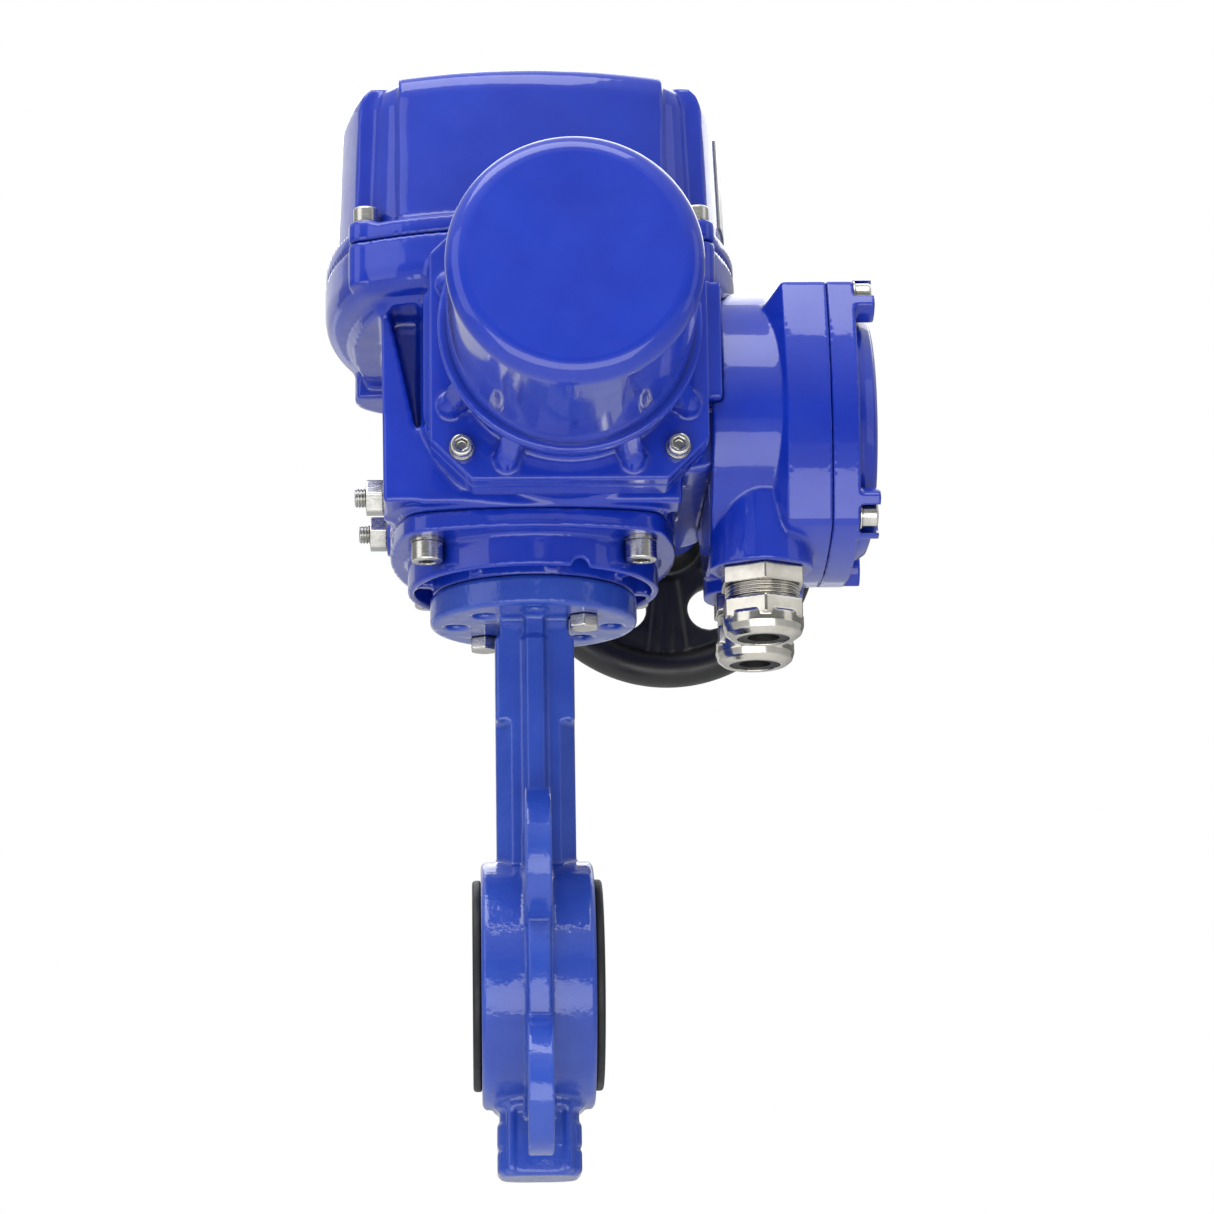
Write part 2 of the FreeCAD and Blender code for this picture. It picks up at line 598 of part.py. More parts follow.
def motor_screws():
    screw = socket_screw(2.5, 20, 4.4, 5)
    return group([placed(screw, (x, PLATE_Y - 2.4, z), (0, -1, 0)) for x, z in motor_screw_spots()])


def motor_washers():
    return group([tube(4.8, 2.5, PLATE_Y - 2.4, PLATE_Y, "Y", at) for at in motor_screw_spots()])


def stator():
    return tube(CAP_R - 3.8, 24.6, -182, -128, "Y", MOTOR_AT)


def rotor():
    return fused(cyl(24, -178, -132, "Y", MOTOR_AT), cyl(5, -192, -112, "Y", MOTOR_AT))


def rotor_bearing():
    return tube(16, 5 + RUN, -196, -188, "Y", MOTOR_AT)


def gearhead():
    case = cyl(36, -124, -77.5, "Y", MOTOR_AT)
    return cut(case, cyl(SHAFT_R + RUN, -102, -76, "Y", MOTOR_AT), cyl(5 + RUN, -125, -109, "Y", MOTOR_AT))


def drive_shaft():
    return cyl(SHAFT_R, -101, SPUR_Y1 + 0.4, "Y", MOTOR_AT)


def drive_bearing():
    return tube(17, SHAFT_R + RUN, -77, -60, "Y", MOTOR_AT)


# ---------------------------------------------------------------- top cover
def cover_plus(levels):
    """Bulged body with its four corners stepped back, as channels for the cover screws."""
    body = bulged(levels)
    low, high = levels[0][0], levels[-1][0]
    cross = fused(box((-PANEL_HALF, PANEL_HALF), (-90, 90), (low, high)),
                  box((-90, 90), (-PANEL_HALF, PANEL_HALF), (low, high)))
    inset = bulged([(z, half - 6.5, side, corner + 8) for z, half, side, corner in levels])
    return fused(body.common(cross), inset)


def top_cover():
    flange = bulged([(PAN_Z1, PAN_HALF - 0.3, 150, 14), (COVER_FLANGE_Z, PAN_HALF - 0.3, 150, 14)])
    walls = cover_plus([(COVER_FLANGE_Z - 1, 80.3, 150, 12), (350, 78.4, 150, 12)])
    crown = cover_plus([(350, 78.4, 150, 12), (355, 77.0, 150, 12), (COVER_TOP_Z, 73.5, 150, 12)])
    room = bulged([(PAN_Z1 - 1, 70, 150, 16), (350, 67, 150, 16)])
    seats = [cyl(7.0, PAN_Z1, 297, "Z", (COVER_SCREW[0] * a, COVER_SCREW[1] * b)) for a, b in CORNERS]
    pockets = [cyl(6.4, 297, 312, "Z", (COVER_SCREW[0] * a, COVER_SCREW[1] * b)) for a, b in CORNERS]
    holes = [cyl(3.3, PAN_Z1 - 1, 300, "Z", (COVER_SCREW[0] * a, COVER_SCREW[1] * b)) for a, b in CORNERS]
    solid = fused(cut(fused(flange, walls, crown), room), *seats)
    return cut(solid, cyl(WINDOW_R, 340, 360), *pockets, *holes)


def cover_screws():
    screw = socket_screw(3, 19, 5.1, 6.5)
    spots = [(COVER_SCREW[0] * a, COVER_SCREW[1] * b, 297) for a, b in CORNERS]
    return group([placed(screw, at, (0, 0, 1)) for at in spots])


def window():
    """Domed glass over the position indicator, held by a ring."""
    outer = turned([(COVER_TOP_Z, 0), (COVER_TOP_Z, 28), (COVER_TOP_Z + 3, 28), (COVER_TOP_Z + 3, 24),
                    (COVER_TOP_Z + 8, 21), (COVER_TOP_Z + 12, 12), (COVER_TOP_Z + 13, 0)])
    inner = turned([(COVER_TOP_Z - 1, 0), (COVER_TOP_Z - 1, 22), (COVER_TOP_Z + 5, 20),
                    (COVER_TOP_Z + 9, 10), (COVER_TOP_Z + 10, 0)])
    return cut(outer, inner)


def window_ring():
    ring = turned([(COVER_TOP_Z, 28), (COVER_TOP_Z, 35), (COVER_TOP_Z + 4, 34), (COVER_TOP_Z + 5, 33),
                   (COVER_TOP_Z + 5, 25), (COVER_TOP_Z + 3, 24.5), (COVER_TOP_Z + 3, 28)])
    return ring


def nameplate():
    """Blank plate on the right side of the cover."""
    levels = ((COVER_FLANGE_Z - 1, 80.3), (350, 78.4))
    wall, sheet = [bulged([(z, half + t, 150, 12) for z, half in levels]) for t in (0, 0.8)]
    return cut(sheet, wall).common(box((70, 90), (-30, 30), (306, 344))).Solids[0]


def control_board():
    return box((-58, -26), (-50, 50), (300, 302))


def board_posts():
    return group([cyl(3, PAN_Z0 + 5.5, 300, "Z", (x, y)) for x in (-54, -30) for y in (-44, 44)])


def switch_bracket():
    plate = box((24, 27), (-24, 24), (PAN_Z0 + 5.5, 326))
    foot = box((24, 40), (-24, 24), (PAN_Z0 + 5.5, PAN_Z0 + 8.5))
    return fused(plate, foot)


def limit_switches():
    return group([box((18.5, 24), (-14, 14), (z, z + 8)).cut(box((18, 20), (-5.5, 5.5), (z - 1, z + 9)))
                  for z in (304.5, 314.5)])


# ---------------------------------------------------------------- terminal box
def terminal_box():
    neck = cyl(NECK_R, BOX_X0, BOX_X1 + 1, "X", BOX_AT)
    flare = bulged([box_level(92.5, -11), box_level(BOX_X1)], "X", BOX_AT)
    flange = bulged([box_level(BOX_X1), box_level(BOX_X2)], "X", BOX_AT)
    bosses = [cyl(20.5, GLAND_TOP_Z + 1.5, 200, "Z", (GLAND_X, y)) for y in GLAND_YS]
    outer = fused(neck, flare, flange, *bosses)
    room = cyl(NECK_R - 6, BOX_X0 + 5, BOX_X2 + 1, "X", BOX_AT)
    mouth = bulged([box_level(BOX_X1 + 3, -7), box_level(BOX_X2 + 1, -7)], "X", BOX_AT)
    entries = [cyl(GLAND_R, 150, 190, "Z", (GLAND_X, y)) for y in GLAND_YS]
    taps = [cyl(3, BOX_X2 - 12, BOX_X2 + 1, "X", at) for at in box_screw_spots()]
    posts = [cyl(7, BOX_X1, BOX_X2, "X", at).common(flange) for at in box_screw_spots()]
    solid = fused(cut(cut(outer, room), mouth), *posts)
    wire_way = cyl(12, BOX_X0 - 1, BOX_X0 + 7, "X", (10, 252))
    return cut(cut(solid, housing_shell()), wire_way, *entries, *taps)


def box_level(x, change=0.0):
    """Section of the terminal box outline at x, grown or shrunk by change."""
    return (x, BOX_HALF + change, BOX_SIDE_R, BOX_CORNER_R)


def box_screw_spots():
    return [(BOX_Y + BOX_SCREW * a, BOX_Z + BOX_SCREW * b) for a, b in CORNERS]


def terminal_cover():
    plate = bulged([box_level(BOX_X2), box_level(BOX_X3)], "X", BOX_AT)
    dome = turned([(BOX_X3 - 1, 0), (BOX_X3 - 1, 52), (BOX_X3 + 3, 51.5), (BOX_X3 + 7, 49),
                   (BOX_X3 + 8.5, 45), (BOX_X3 + 9.2, 0)], "X", BOX_AT)
    rim = bulged([box_level(BOX_X3 - 2), box_level(BOX_X3 + 9)], "X", BOX_AT)
    bosses = [cyl(10.5, BOX_X3 - 1, BOX_X3 + 8, "X", at).common(rim) for at in box_screw_spots()]
    room = cyl(44, BOX_X2 - 1, BOX_X3 + 4, "X", BOX_AT)
    pockets = [cyl(7.4, BOX_X3, BOX_X3 + 12, "X", at) for at in box_screw_spots()]
    holes = [cyl(3.3, BOX_X2 - 1, BOX_X3 + 9, "X", at) for at in box_screw_spots()]
    return cut(fused(plate, dome, *bosses), room, *pockets, *holes)


def terminal_cover_screws():
    screw = socket_screw(3, 20, 5.1, 6.5)
    return group([placed(screw, (BOX_X3 + 0.6, y, z), (1, 0, 0)) for y, z in box_screw_spots()])


def terminal_cover_washers():
    return group([tube(6, 3, BOX_X3, BOX_X3 + 0.6, "X", at) for at in box_screw_spots()])


def terminal_strip():
    """Row of ten terminals on a rail."""
    rail = box((96, 99), (-50, 18), (222, 238))
    blocks = [box((99, 110), (y, y + 5.6), (218, 242)) for y in range(-48, 12, 6)]
    return fused(rail, *blocks)


def strip_posts():
    return group([cyl(3.5, BOX_X0 + 5, 96, "X", (y, 245)) for y in (-44, 12)])


# ---------------------------------------------------------------- cable glands
def gland_bodies():
    bodies = []
    for y in GLAND_YS:
        at = (GLAND_X, y)
        flats = hexagon(31.4, GLAND_TOP_Z - 5.6, GLAND_TOP_Z + 1.5)
        flats.translate(Vec(*at, 0))
        body = fused(flats, cyl(GLAND_R, GLAND_TOP_Z, 171, "Z", at), cyl(14, 141, 153, "Z", at))
        bodies.append(cut(body, cyl(10, 140, 172, "Z", at)))
    return group(bodies)


def gland_nuts():
    nuts = []
    for y in GLAND_YS:
        at = (GLAND_X, y)
        flats = hexagon(30.5, 138.5, 146)
        flats.translate(Vec(*at, 0))
        dome = turned([(131, 0), (131, 12.6), (133, 15.2), (136, 16.2), (140, 16.2), (140, 0)], "Z", at)
        bore = turned([(130, 0), (130, 10.4), (135, 10.4), (137, 12.4), (141, 12.4), (141, 14), (150, 14),
                       (150, 0)], "Z", at)
        nuts.append(cut(fused(flats, dome), bore))
    return group(nuts)


def gland_seals():
    seals = []
    for y in GLAND_YS:
        lip = tube(10.4, 6.5, 131.8, 135, "Z", (GLAND_X, y))
        seals.append(lip.fuse(tube(10, 6.5, 135, 150, "Z", (GLAND_X, y))))
    return group(seals)


NODES = {
    "valve_body": valve_body, "seat_liner": seat_liner, "valve_disc": valve_disc, "disc_pins": disc_pins,
    "valve_stem": valve_stem, "stem_bushes": stem_bushes, "stem_seals": stem_seals,
    "flange_bolts": flange_bolts, "base_flange": base_flange, "base_screws": base_screws,
    "base_washers": base_washers, "gear_housing": gear_housing, "stop_screws": stop_screws,
    "stop_nuts": stop_nuts, "drive_sleeve": drive_sleeve, "worm_wheel": worm_wheel,
    "sleeve_bearing": sleeve_bearing, "indicator_shaft": indicator_shaft, "cam_stack": cam_stack,
    "indicator_pointer": indicator_pointer, "worm_shaft": worm_shaft, "worm_pinion": worm_pinion,
    "worm_bearings": worm_bearings, "shaft_seal": shaft_seal, "handwheel": handwheel,
    "handwheel_nut": handwheel_nut, "motor_adapter": motor_adapter, "motor_cap": motor_cap,
    "motor_screws": motor_screws, "motor_washers": motor_washers, "stator": stator, "rotor": rotor,
    "rotor_bearing": rotor_bearing, "gearhead": gearhead, "drive_shaft": drive_shaft,
    "drive_gear": drive_gear, "drive_bearing": drive_bearing, "top_cover": top_cover,
    "cover_screws": cover_screws, "window": window, "window_ring": window_ring, "nameplate": nameplate,
    "control_board": control_board, "board_posts": board_posts, "switch_bracket": switch_bracket,
    "limit_switches": limit_switches, "terminal_box": terminal_box, "terminal_cover": terminal_cover,
    "terminal_cover_screws": terminal_cover_screws, "terminal_cover_washers": terminal_cover_washers,
    "terminal_strip": terminal_strip, "strip_posts": strip_posts, "gland_bodies": gland_bodies,
    "gland_nuts": gland_nuts, "gland_seals": gland_seals,
}


def main():
    os.makedirs("parts", exist_ok=True)
    for name, make in NODES.items():
        shape = make()
        solids = shape.Solids
        closed = all(s.isClosed() and s.isValid() for s in solids)
        volume = sum(s.Volume for s in solids)
        print(f"{name:24s} solids {len(solids)} closed {closed} volume {volume / 1000:.1f} cm3")
        result = solids[0] if len(solids) == 1 else Part.makeCompound(solids)
        result.exportStep(f"parts/{name}.step")


main()
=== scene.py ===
"""Looks for the quarter-turn valve actuator: materials, fine mesh detail, studio light and the camera."""
import bmesh
import bpy
import json
import math
from mathutils import Matrix, Vector

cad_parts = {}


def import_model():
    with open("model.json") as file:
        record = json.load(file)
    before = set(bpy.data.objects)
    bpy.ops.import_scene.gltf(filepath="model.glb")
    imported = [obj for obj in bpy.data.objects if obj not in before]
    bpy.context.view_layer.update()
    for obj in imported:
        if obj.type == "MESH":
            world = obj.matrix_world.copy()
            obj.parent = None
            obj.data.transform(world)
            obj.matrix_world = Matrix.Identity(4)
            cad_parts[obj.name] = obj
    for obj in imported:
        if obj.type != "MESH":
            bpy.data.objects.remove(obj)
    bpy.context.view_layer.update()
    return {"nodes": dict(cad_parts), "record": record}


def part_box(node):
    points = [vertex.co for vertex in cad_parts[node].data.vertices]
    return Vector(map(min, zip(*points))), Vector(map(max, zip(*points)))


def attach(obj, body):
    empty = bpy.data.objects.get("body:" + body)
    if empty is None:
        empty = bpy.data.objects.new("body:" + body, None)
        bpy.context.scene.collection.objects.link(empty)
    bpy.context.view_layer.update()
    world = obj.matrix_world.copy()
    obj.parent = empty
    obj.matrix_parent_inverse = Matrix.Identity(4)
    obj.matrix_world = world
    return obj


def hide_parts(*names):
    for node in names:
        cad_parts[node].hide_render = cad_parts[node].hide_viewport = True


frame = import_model()
nodes = frame["nodes"]
slot_of = {entry["node"]: entry["material_slot"] for entry in frame["record"]["subparts"]}
body_of = {node: body for body, held in frame["record"]["behaviour"]["bodies"].items() for node in held}
X, Y, Z = Vector((1, 0, 0)), Vector((0, 1, 0)), Vector((0, 0, 1))
MM = 0.001


# ---------------------------------------------------------------- materials
class Surface:
    """A Principled material with colour drift, roughness drift and layered bumps."""

    def __init__(self, name, metallic=0.0, coat=0.0, coat_rough=0.1, specular=0.5, edge=0.0):
        self.mat = bpy.data.materials.new(name)
        self.mat.use_nodes = True
        self.tree = self.mat.node_tree
        self.out = self.tree.nodes["Principled BSDF"]
        for socket, value in (("Metallic", metallic), ("Coat Weight", coat), ("Coat Roughness", coat_rough),
                              ("Specular IOR Level", specular)):
            self.out.inputs[socket].default_value = value
        self.place = self.tree.nodes.new("ShaderNodeTexCoord").outputs["Object"]
        self.normal = None
        # painted shade: how far in metres the ambient-occlusion darkening painted into the colour reaches;
        # zero paints none
        self.painted_shade_reach = 0.0
        if edge:
            bevel = self.tree.nodes.new("ShaderNodeBevel")
            bevel.samples = 6
            bevel.inputs["Radius"].default_value = edge
            self.normal = bevel.outputs["Normal"]

    def noise(self, scale, detail=4.0, rough=0.55, stretch=None):
        """Noise over the object, stretched along an axis where the metal has a grain."""
        place = self.place
        if stretch:
            mapping = self.tree.nodes.new("ShaderNodeMapping")
            mapping.inputs["Scale"].default_value = stretch
            self.tree.links.new(place, mapping.inputs["Vector"])
            place = mapping.outputs["Vector"]
        node = self.tree.nodes.new("ShaderNodeTexNoise")
        node.inputs["Scale"].default_value = scale
        node.inputs["Detail"].default_value = detail
        node.inputs["Roughness"].default_value = rough
        self.tree.links.new(place, node.inputs["Vector"])
        return node.outputs["Fac"]

    def span(self, value, low, high, at=(0.3, 0.7)):
        """Maps a noise value onto the range low to high."""
        node = self.tree.nodes.new("ShaderNodeMapRange")
        for socket, number in zip(("From Min", "From Max", "To Min", "To Max"), (*at, low, high)):
            node.inputs[socket].default_value = number
        self.tree.links.new(value, node.inputs["Value"])
        return node.outputs["Result"]

    def colour(self, value, *stops):
        """Colour ramp driven by a noise value, with painted shade: ambient occlusion darkens the colour in
        crevices where the surface asks for it.
        """
        ramp = self.tree.nodes.new("ShaderNodeValToRGB")
        elements = ramp.color_ramp.elements
        while len(elements) < len(stops):
            elements.new(0.5)
        for element, (at, rgb) in zip(elements, stops):
            element.position = at
            element.color = (*rgb, 1)
        self.tree.links.new(value, ramp.inputs["Fac"])
        colour = ramp.outputs["Color"]
        # painted shade: ambient occlusion multiplied into the base colour darkens crevices, recesses and
        # joints between parts
        if self.painted_shade_reach:
            shade = self.tree.nodes.new("ShaderNodeAmbientOcclusion")
            shade.samples = 6
            shade.inputs["Distance"].default_value = self.painted_shade_reach
            darken = self.tree.nodes.new("ShaderNodeMix")
            darken.data_type = "RGBA"
            darken.blend_type = "MULTIPLY"
            darken.inputs["Factor"].default_value = 0.7
            self.tree.links.new(colour, darken.inputs["A"])
            self.tree.links.new(shade.outputs["Color"], darken.inputs["B"])
            colour = darken.outputs["Result"]
        self.tree.links.new(colour, self.out.inputs["Base Color"])

    def rough(self, value, low, high):
        self.tree.links.new(self.span(value, low, high), self.out.inputs["Roughness"])

    def bump(self, value, depth):
        node = self.tree.nodes.new("ShaderNodeBump")
        node.inputs["Distance"].default_value = depth
        self.tree.links.new(value, node.inputs["Height"])
        if self.normal:
            self.tree.links.new(self.normal, node.inputs["Normal"])
        self.normal = node.outputs["Normal"]

    def done(self):
        if self.normal:
            self.tree.links.new(self.normal, self.out.inputs["Normal"])
            if self.out.inputs["Coat Weight"].default_value:
                self.tree.links.new(self.normal, self.out.inputs["Coat Normal"])
        return self.mat


def paint(name, deep, mid, light, lump, edge, rough):
    """Gloss enamel over a casting; lump holds the scale and depth of its slow and its fine waves."""
    s = Surface(name, coat=0.9, coat_rough=0.035, specular=0.25, edge=edge)
    # painted shade darkens the enamel's crevices within 3 mm
    s.painted_shade_reach = 0.003
    s.colour(s.noise(34, 6), (0.32, deep), (0.52, mid), (0.74, light))
    s.rough(s.noise(90, 5), *rough)
    s.bump(s.noise(lump[0], 3, 0.5), lump[1])
    s.bump(s.noise(lump[2], 3, 0.6), lump[3])
    return s.done()


def metal(name, deep, light, rough, grain=(1, 1, 1), depth=0.000012, edge=0.0002):
    """Bare or plated metal with a fine machining grain."""
    s = Surface(name, metallic=1.0, edge=edge)
    # painted shade darkens the metal's recesses, such as screw sockets, within 4 mm
    s.painted_shade_reach = 0.004
    s.colour(s.noise(120, 5), (0.3, deep), (0.7, light))
    s.rough(s.noise(260, 5, 0.6, grain), *rough)
    s.bump(s.noise(900, 3, 0.6, grain), depth)
    return s.done()


def soft(name, deep, light, rough, coat=0.0, grain=500, depth=0.00006, edge=0.0004):
    """Rubber or moulded plastic with a fine pebble."""
    s = Surface(name, coat=coat, coat_rough=0.12, edge=edge)
    s.colour(s.noise(60, 5), (0.3, deep), (0.72, light))
    s.rough(s.noise(140, 5), *rough)
    s.bump(s.noise(grain, 4, 0.6), depth)
    return s.done()


def clear_glass(name):
    s = Surface(name, coat=0.3)
    s.out.inputs["Transmission Weight"].default_value = 1.0
    s.colour(s.noise(20, 3), (0.3, (0.86, 0.90, 0.90)), (0.7, (0.93, 0.95, 0.95)))
    s.rough(s.noise(60, 4), 0.02, 0.06)
    s.bump(s.noise(40, 3), 0.00002)
    return s.done()


looks = {
    "actuator_paint": paint("actuator_paint",
                            (0.0040, 0.026, 0.38), (0.0052, 0.032, 0.42), (0.0075, 0.039, 0.46),
                            (45, 0.00010, 600, 0.000012), 0.0004, (0.30, 0.42)),
    "valve_paint": paint("valve_paint",
                         (0.016, 0.056, 0.40), (0.022, 0.070, 0.44), (0.032, 0.090, 0.49),
                         (120, 0.00045, 520, 0.00006), 0.0006, (0.28, 0.42)),
    "seat_rubber": soft("seat_rubber", (0.006, 0.006, 0.007), (0.014, 0.014, 0.015), (0.42, 0.62)),
    "seal_rubber": soft("seal_rubber", (0.006, 0.006, 0.006), (0.013, 0.013, 0.013), (0.45, 0.65)),
    "disc_steel": metal("disc_steel", (0.50, 0.50, 0.50), (0.62, 0.62, 0.61), (0.22, 0.40), (1, 1, 12)),
    "stainless": metal("stainless", (0.56, 0.55, 0.51), (0.74, 0.72, 0.67), (0.16, 0.32), (1, 1, 6)),
    "train_steel": metal("train_steel", (0.42, 0.42, 0.42), (0.55, 0.55, 0.54), (0.20, 0.38)),
    "bearing_steel": metal("bearing_steel", (0.60, 0.60, 0.60), (0.72, 0.72, 0.71), (0.10, 0.22)),
    "bronze": metal("bronze", (0.52, 0.33, 0.14), (0.68, 0.46, 0.22), (0.22, 0.40)),
    "bracket_metal": metal("bracket_metal", (0.50, 0.50, 0.49), (0.64, 0.63, 0.60), (0.26, 0.44)),
    "gearhead_alloy": metal("gearhead_alloy", (0.48, 0.48, 0.49), (0.60, 0.60, 0.60), (0.28, 0.45)),
    "plate_metal": metal("plate_metal", (0.60, 0.60, 0.60), (0.74, 0.74, 0.73), (0.26, 0.42), (1, 12, 1)),
    "gland_nickel": metal("gland_nickel", (0.60, 0.57, 0.50), (0.76, 0.73, 0.66), (0.10, 0.22),
                          depth=0.000008),
    "stator_iron": soft("stator_iron", (0.05, 0.05, 0.055), (0.11, 0.11, 0.11), (0.40, 0.60)),
    "polymer_bush": soft("polymer_bush", (0.58, 0.57, 0.53), (0.70, 0.69, 0.64), (0.35, 0.55)),
    "cam_plastic": soft("cam_plastic", (0.60, 0.17, 0.03), (0.78, 0.25, 0.06), (0.30, 0.50)),
    "pointer_paint": soft("pointer_paint", (0.62, 0.52, 0.04), (0.78, 0.68, 0.08), (0.28, 0.45)),
    "wheel_plastic": soft("wheel_plastic", (0.004, 0.004, 0.004), (0.009, 0.009, 0.009), (0.30, 0.46),
                          coat=0.1),
    "board_green": soft("board_green", (0.010, 0.10, 0.035), (0.020, 0.16, 0.060), (0.30, 0.50)),
    "switch_black": soft("switch_black", (0.012, 0.012, 0.012), (0.028, 0.028, 0.028), (0.30, 0.50)),
    "window_glass": clear_glass("window_glass"),
}
for node, slot in slot_of.items():
    mesh = nodes[node].data
    mesh.materials.clear()
    mesh.materials.append(looks[slot])


# ---------------------------------------------------------------- cast and turned pieces
def settle(name, mesh, look, body, *replaced):
    """Links a mesh with its look, parents it to its body's empty and hides the CAD nodes it stands for."""
    piece = bpy.data.objects.new(name, mesh)
    bpy.context.scene.collection.objects.link(piece)
    mesh.materials.clear()
    mesh.materials.append(looks[look])
    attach(piece, body)
    if replaced:
        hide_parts(*replaced)


def rounded(name, source, voxel, rounds):
    """Remeshes a closed shape and eases its edges and inner corners."""
    piece = bpy.data.objects.new(name, source)
    bpy.context.scene.collection.objects.link(piece)
    skin = piece.modifiers.new("skin", "REMESH")
    skin.mode = "VOXEL"
    skin.voxel_size = voxel * MM
    skin.use_smooth_shade = True
    ease = piece.modifiers.new("ease", "SMOOTH")
    ease.factor = 0.5
    ease.iterations = rounds
    seen = bpy.context.evaluated_depsgraph_get()
    mesh = bpy.data.meshes.new_from_object(piece.evaluated_get(seen))
    bpy.data.objects.remove(piece)
    return mesh


def merged(name, meshes):
    """One mesh that holds several closed meshes."""
    work = bmesh.new()
    for part in meshes:
        work.from_mesh(part)
    whole = bpy.data.meshes.new(name)
    work.to_mesh(whole)
    work.free()
    return whole


def casting(node, voxel, rounds, extras=()):
    """A CAD node as it leaves the mould, with any extra closed shapes melted in."""
    source = merged(node + "_source", [nodes[node].data, *extras])
    mesh = rounded(node + "_work", source, voxel, rounds)
    settle(node + "_finished", mesh, slot_of[node], body_of[node], node)


def lathe(name, at, axis, rows, smooth=False):
    """Closed rod about an axis through at; a row is a place along the axis and the radii round it, in mm."""
    work = bmesh.new()
    side = X if abs(axis.dot(X)) < 0.5 else Y
    other = axis.cross(side)
    rings = []
    for place, radii in rows:
        ring = []
        for step, radius in enumerate(radii):
            a = 2 * math.pi * step / len(radii)
            out = side * math.cos(a) + other * math.sin(a)
            ring.append(work.verts.new((Vector(at) + axis * place + out * radius) * MM))
        rings.append(ring)
    for low_ring, high_ring in zip(rings, rings[1:]):
        for i in range(len(low_ring)):
            j = (i + 1) % len(low_ring)
            work.faces.new((low_ring[i], low_ring[j], high_ring[j], high_ring[i]))
    work.faces.new(rings[0][::-1])
    work.faces.new(rings[-1])
    bmesh.ops.recalc_face_normals(work, faces=work.faces[:])
    for face in work.faces:
        face.smooth = smooth
    rod = bpy.data.meshes.new(name)
    work.to_mesh(rod)
    work.free()
    return rod


def turned(profile, at, axis, steps):
    """Round piece from (place along axis, radius) pairs."""
    return lathe("turned", at, axis, [(place, [radius] * steps) for place, radius in profile])


def threaded(at, axis, low, high, crest, depth, pitch, steps=40):
    """Rod with a real screw thread between two places on its axis."""
    count = round((high - low) / pitch * 8)
    rows = []
    for row in range(count + 1):
        place = low + (high - low) * row / count
        end = min(place - low, high - place)
        radii = []
        for step in range(steps):
            wave = abs(((place / pitch - step / steps) % 1) * 2 - 1)
            radius = crest - depth * min(1, max(0, wave * 1.3 - 0.15))
            radii.append(min(radius, crest - depth * 1.2 + end))
        rows.append((place, radii))
    return lathe("threaded", at, axis, rows, smooth=True)


def corners(node):
    """Lowest and highest corner of a node, in mm."""
    low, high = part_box(node)
    return Vector(low) / MM, Vector(high) / MM


def middle(node):
    low, high = corners(node)
    return (low + high) / 2


def spokes(angles):
    """Directions in the plane across Y, from angles in degrees."""
    return [Vector((math.cos(math.radians(a)), 0, math.sin(math.radians(a)))) for a in angles]


# motor adapter: eight gussets that end in round toes on the octagonal plate
PLATE_BEHIND_LIP = 27.6
GUSSET_TURN = 17
motor = middle("motor_cap")
plate_y = corners("motor_adapter")[0].y + PLATE_BEHIND_LIP
foot = Vector((motor.x, plate_y + 1, motor.z))
toes = []
for out in spokes(45 + 90 * corner + turn for corner in range(4) for turn in (-GUSSET_TURN, GUSSET_TURN)):
    toes.append(turned([(0, 5.0), (2.5, 4.8), (5.5, 3.6), (7.5, 1.6), (8, 0.4)], foot + out * 52, -Y, 20))
    toes.append(turned([(0, 4.6), (5, 4.4), (10, 3.2), (13, 1.4)], foot + out * 48.5, -Y, 20))
casting("motor_adapter", 0.8, 5, toes)

# the other castings: voxel in mm, then smoothing rounds
for node, voxel, rounds in (("gear_housing", 1.15, 5), ("top_cover", 1.15, 6), ("base_flange", 0.9, 4),
                            ("terminal_box", 0.8, 5), ("terminal_cover", 0.7, 4), ("valve_body", 0.8, 4),
                            ("seat_liner", 0.6, 3)):
    casting(node, voxel, rounds)

# handwheel: three flutes between each pair of holes, on both faces
WEB_BEYOND_MIDDLE = 5
wheel = middle("handwheel")
hub = Vector((wheel.x, wheel.y + WEB_BEYOND_MIDDLE, wheel.z))
flutes = [turned([(18, 1.2), (20, 4.4), (54, 4.4), (57, 3.0)], hub, out, 16)
          for out in spokes(60 * sector + 30 + offset for sector in range(6) for offset in (-7, 0, 7))]
casting("handwheel", 0.8, 4, flutes)

# cable glands: the thread shows between the nut and the hexagon above it
casting("gland_nuts", 0.4, 4)
casting("gland_bodies", 0.4, 3)
low, high = corners("gland_seals")
seal_r = (high.x - low.x) / 2
nut_top = corners("gland_nuts")[1].z
for i, y in enumerate((low.y + seal_r, high.y - seal_r)):
    rod = threaded((low.x + seal_r, y, 0), Z, nut_top - 0.4, nut_top + 6.4, 15.0, 0.8, 1.5, 56)
    settle(f"gland_thread_{i}", rod, "gland_nickel", "frame")

# travel stop screws
low, high = corners("stop_screws")
screw_r = (high.z - low.z) / 2
rods = [threaded((0, y, low.z + screw_r), X, low.x, high.x, screw_r, 0.6, 1.25)
        for y in (low.y + screw_r, high.y - screw_r)]
settle("stop_screws_finished", merged("stop_screws", rods), "stainless", "frame", "stop_screws")

# nuts, screws and the indicator window
for node, voxel, rounds in (("stop_nuts", 0.3, 3), ("flange_bolts", 0.35, 3), ("base_screws", 0.35, 2),
                            ("motor_screws", 0.35, 2), ("cover_screws", 0.35, 2),
                            ("terminal_cover_screws", 0.35, 2), ("handwheel_nut", 0.35, 2),
                            ("window", 0.5, 4), ("window_ring", 0.6, 4)):
    casting(node, voxel, rounds)


# ---------------------------------------------------------------- studio
TARGET = Vector((0.01, 0, 0.16))
FLOOR_Z = -0.95
FLOOR_HALF = 40


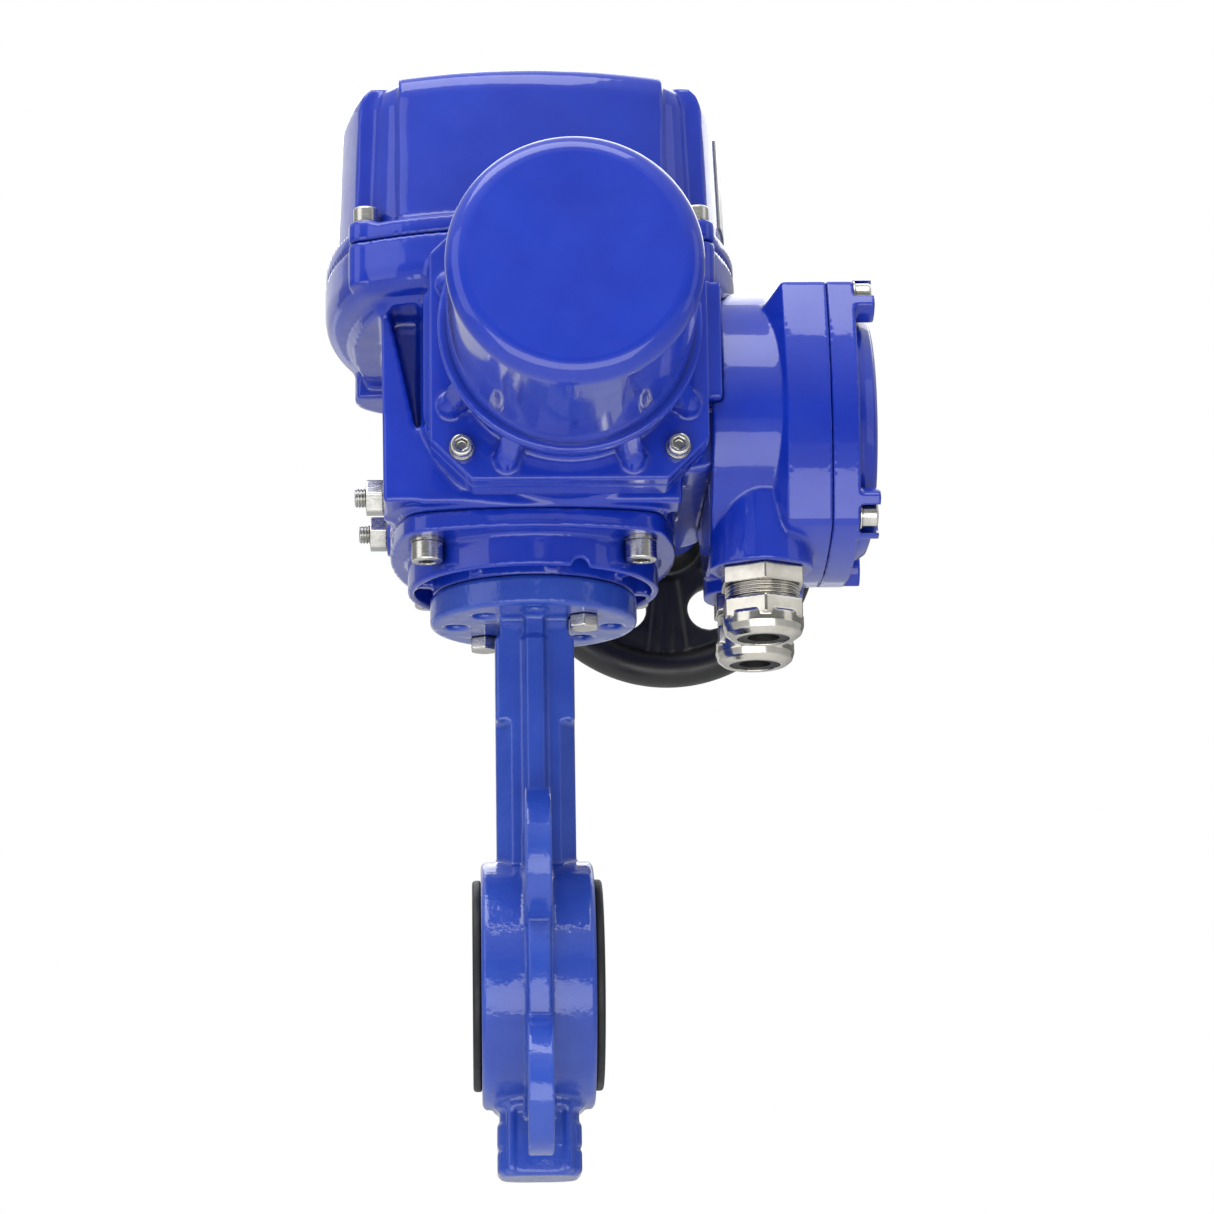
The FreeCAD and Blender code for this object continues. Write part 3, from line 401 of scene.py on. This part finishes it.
def slab(name, centre, size, strength):
    """Soft area light at centre, facing the object; the eye doesn't see the lamp itself."""
    light = bpy.data.lights.new(name, "AREA")
    light.shape = "RECTANGLE"
    light.size, light.size_y = size
    light.energy = strength
    lamp = bpy.data.objects.new(name, light)
    bpy.context.scene.collection.objects.link(lamp)
    lamp.location = centre
    lamp.rotation_euler = (TARGET - Vector(centre)).to_track_quat("-Z", "Y").to_euler()
    lamp.visible_camera = False


def world():
    """White backdrop to the eye, a softer grey room to the surfaces."""
    studio = bpy.data.worlds.new("studio")
    bpy.context.scene.world = studio
    studio.use_nodes = True
    tree = studio.node_tree
    seen = tree.nodes["Background"]
    seen.inputs["Color"].default_value = (1, 1, 1, 1)
    room = tree.nodes.new("ShaderNodeBackground")
    place = tree.nodes.new("ShaderNodeTexCoord")
    height = tree.nodes.new("ShaderNodeSeparateXYZ")
    lift = tree.nodes.new("ShaderNodeMapRange")
    lift.inputs["From Min"].default_value = -1
    ramp = tree.nodes.new("ShaderNodeValToRGB")
    bands = ((0.0, 0.50), (0.33, 0.42), (0.46, 0.16), (0.60, 0.18), (0.74, 0.60), (1.0, 0.80))
    while len(ramp.color_ramp.elements) < len(bands):
        ramp.color_ramp.elements.new(0.5)
    for element, (at, grey) in zip(ramp.color_ramp.elements, bands):
        element.position = at
        element.color = (grey, grey * 1.02, grey * 1.05, 1)
    tree.links.new(place.outputs["Generated"], height.inputs["Vector"])
    tree.links.new(height.outputs["Z"], lift.inputs["Value"])
    tree.links.new(lift.outputs["Result"], ramp.inputs["Fac"])
    tree.links.new(ramp.outputs["Color"], room.inputs["Color"])
    path = tree.nodes.new("ShaderNodeLightPath")
    mix = tree.nodes.new("ShaderNodeMixShader")
    tree.links.new(path.outputs["Is Camera Ray"], mix.inputs["Fac"])
    tree.links.new(room.outputs["Background"], mix.inputs[1])
    tree.links.new(seen.outputs["Background"], mix.inputs[2])
    tree.links.new(mix.outputs["Shader"], tree.nodes["World Output"].inputs["Surface"])


def floor():
    """Pale paper floor, wide enough to reach the horizon."""
    sheet = bpy.data.meshes.new("floor")
    h = FLOOR_HALF
    sheet.from_pydata([(x, y, FLOOR_Z) for x, y in ((-h, -h), (h, -h), (h, h), (-h, h))], [], [(0, 1, 2, 3)])
    ground = bpy.data.objects.new("floor", sheet)
    bpy.context.scene.collection.objects.link(ground)
    s = Surface("floor_paper")
    s.colour(s.noise(3, 4), (0.3, (0.68, 0.68, 0.68)), (0.7, (0.72, 0.72, 0.72)))
    s.rough(s.noise(20, 3), 0.6, 0.75)
    s.bump(s.noise(300, 3), 0.0001)
    sheet.materials.append(s.done())


world()
floor()
slab("key", (-0.4, -1.0, 2.1), (2.4, 1.2), 36)
slab("left_box", (-1.7, -1.0, 0.5), (1.3, 1.5), 7)
slab("right_box", (1.7, -0.6, 0.5), (0.8, 1.3), 2)
slab("front_low", (-0.1, -1.3, -0.42), (1.8, 0.7), 10)
slab("back_top", (0.2, 1.1, 1.3), (1.6, 1.2), 12)
slab("back_low", (-0.4, 1.6, 0.5), (1.6, 1.2), 3)

# camera at the photograph's viewing angle: metres, degrees, and a focal length in picture widths
EYE = Vector((-0.024, -1.5, -0.203))
PITCH, YAW, ROLL = (math.radians(a) for a in (13.39, 2.06, 0.90))
FOCAL = 3.1236
SENSOR = 36
forward = Vector((math.sin(YAW) * math.cos(PITCH), math.cos(YAW) * math.cos(PITCH), math.sin(PITCH)))
level = Vector((math.cos(YAW), -math.sin(YAW), 0))
rise = level.cross(forward)
right = level * math.cos(ROLL) - rise * math.sin(ROLL)
up = rise * math.cos(ROLL) + level * math.sin(ROLL)
lens = bpy.data.cameras.new("camera")
lens.sensor_width = SENSOR
lens.lens = FOCAL * SENSOR
lens.clip_end = 30
camera = bpy.data.objects.new("camera", lens)
bpy.context.scene.collection.objects.link(camera)
turn = Matrix((right, up, -forward)).transposed()
camera.matrix_world = Matrix.Translation(EYE) @ turn.to_4x4()
bpy.context.scene.camera = camera
bpy.context.scene.view_settings.view_transform = "Standard"
